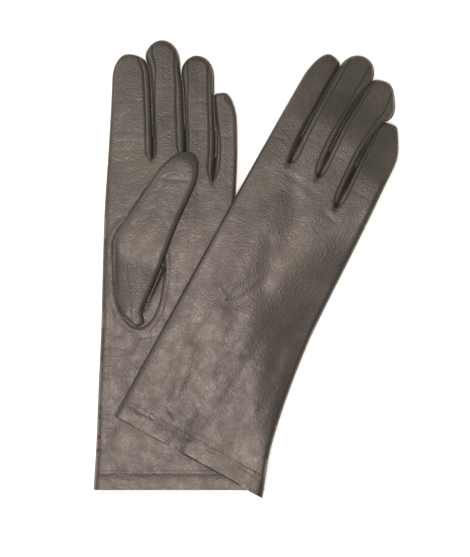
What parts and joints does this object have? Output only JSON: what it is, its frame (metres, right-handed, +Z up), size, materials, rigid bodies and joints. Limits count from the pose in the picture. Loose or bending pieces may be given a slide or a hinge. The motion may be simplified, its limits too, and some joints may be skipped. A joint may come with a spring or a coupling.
{
  "type": "leather gloves",
  "caption": "Long slim smooth-leather dress gloves laid flat as a pair, one palm up with its thumb folded over, the other back up lying slantwise across it.",
  "frame": {"origin": "bottom centre of the pair's bounding box, on the surface that the gloves lie on", "axes": "+Z up from that surface; +Y along the lower glove, from its hem to its fingertips; +X to the right seen from above"},
  "size_m": [0.2076, 0.3034, 0.0177],
  "materials": {
    "leather": "smooth semi-gloss nappa, fine grain",
    "lining": "fine matt knit"
  },
  "bodies": {
    "left_hand": {"left_palm": "leather", "left_back": "leather", "left_cuff_hem": "leather", "left_hand_lining": "lining", "left_thumb_root": "leather", "left_fork_index_middle": "leather", "left_fork_middle_ring": "leather", "left_fork_ring_little": "leather"},
    "left_index_finger": {"left_index_front": "leather", "left_index_back": "leather", "left_index_fourchette_little_side": "leather", "left_index_lining": "lining"},
    "left_middle_finger": {"left_middle_front": "leather", "left_middle_back": "leather", "left_middle_fourchette_index_side": "leather", "left_middle_fourchette_little_side": "leather", "left_middle_lining": "lining"},
    "left_ring_finger": {"left_ring_front": "leather", "left_ring_back": "leather", "left_ring_fourchette_index_side": "leather", "left_ring_fourchette_little_side": "leather", "left_ring_lining": "lining"},
    "left_little_finger": {"left_little_front": "leather", "left_little_back": "leather", "left_little_fourchette_index_side": "leather", "left_little_lining": "lining"},
    "left_thumb": {"left_thumb_upper": "leather", "left_thumb_under": "leather", "left_thumb_lining": "lining"},
    "right_hand": {"right_palm": "leather", "right_back": "leather", "right_cuff_hem": "leather", "right_hand_lining": "lining", "right_thumb_root": "leather", "right_fork_index_middle": "leather", "right_fork_middle_ring": "leather", "right_fork_ring_little": "leather"},
    "right_index_finger": {"right_index_front": "leather", "right_index_back": "leather", "right_index_fourchette_little_side": "leather", "right_index_lining": "lining"},
    "right_middle_finger": {"right_middle_front": "leather", "right_middle_back": "leather", "right_middle_fourchette_index_side": "leather", "right_middle_fourchette_little_side": "leather", "right_middle_lining": "lining"},
    "right_ring_finger": {"right_ring_front": "leather", "right_ring_back": "leather", "right_ring_fourchette_index_side": "leather", "right_ring_fourchette_little_side": "leather", "right_ring_lining": "lining"},
    "right_little_finger": {"right_little_front": "leather", "right_little_back": "leather", "right_little_fourchette_index_side": "leather", "right_little_lining": "lining"},
    "right_thumb": {"right_thumb_upper": "leather", "right_thumb_under": "leather", "right_thumb_lining": "lining"}
  },
  "joints": [
    {"name": "right_glove_lift", "type": "slide", "parent": "left_hand", "child": "right_hand", "axis": [0, 0, 1], "range_m": [0, 0.12]},
    {"name": "left_index_bend", "type": "hinge", "parent": "left_hand", "child": "left_index_finger", "pos_m": [-0.08021, 0.0876, 0.008], "axis": [1, 0, 0], "range_deg": [0, 75]},
    {"name": "left_middle_bend", "type": "hinge", "parent": "left_hand", "child": "left_middle_finger", "pos_m": [-0.05491, 0.0956, 0.008], "axis": [1, 0, 0], "range_deg": [0, 75]},
    {"name": "left_ring_bend", "type": "hinge", "parent": "left_hand", "child": "left_ring_finger", "pos_m": [-0.03361, 0.0916, 0.008], "axis": [1, 0, 0], "range_deg": [0, 75]},
    {"name": "left_little_bend", "type": "hinge", "parent": "left_hand", "child": "left_little_finger", "pos_m": [-0.01546, 0.0736, 0.008], "axis": [1, 0, 0], "range_deg": [0, 75]},
    {"name": "left_thumb_lift", "type": "hinge", "parent": "left_hand", "child": "left_thumb", "pos_m": [-0.0725, -0.0034, 0.0163], "axis": [0.9378, -0.3473, 0], "range_deg": [0, 90]},
    {"name": "right_index_bend", "type": "hinge", "parent": "right_hand", "child": "right_index_finger", "pos_m": [0.03321, 0.10357, 0.0097], "axis": [-0.8741, 0.4857, 0], "range_deg": [0, 75]},
    {"name": "right_middle_bend", "type": "hinge", "parent": "right_hand", "child": "right_middle_finger", "pos_m": [0.05299, 0.09715, 0.0097], "axis": [-0.8741, 0.4857, 0], "range_deg": [0, 75]},
    {"name": "right_ring_bend", "type": "hinge", "parent": "right_hand", "child": "right_ring_finger", "pos_m": [0.07068, 0.08504, 0.0097], "axis": [-0.8741, 0.4857, 0], "range_deg": [0, 75]},
    {"name": "right_little_bend", "type": "hinge", "parent": "right_hand", "child": "right_little_finger", "pos_m": [0.08069, 0.06117, 0.0097], "axis": [-0.8741, 0.4857, 0], "range_deg": [0, 75]},
    {"name": "right_thumb_lift", "type": "hinge", "parent": "right_hand", "child": "right_thumb", "pos_m": [0.00532, 0.01611, 0], "axis": [-0.6415, 0.7671, 0], "range_deg": [0, 90]}
  ]
}
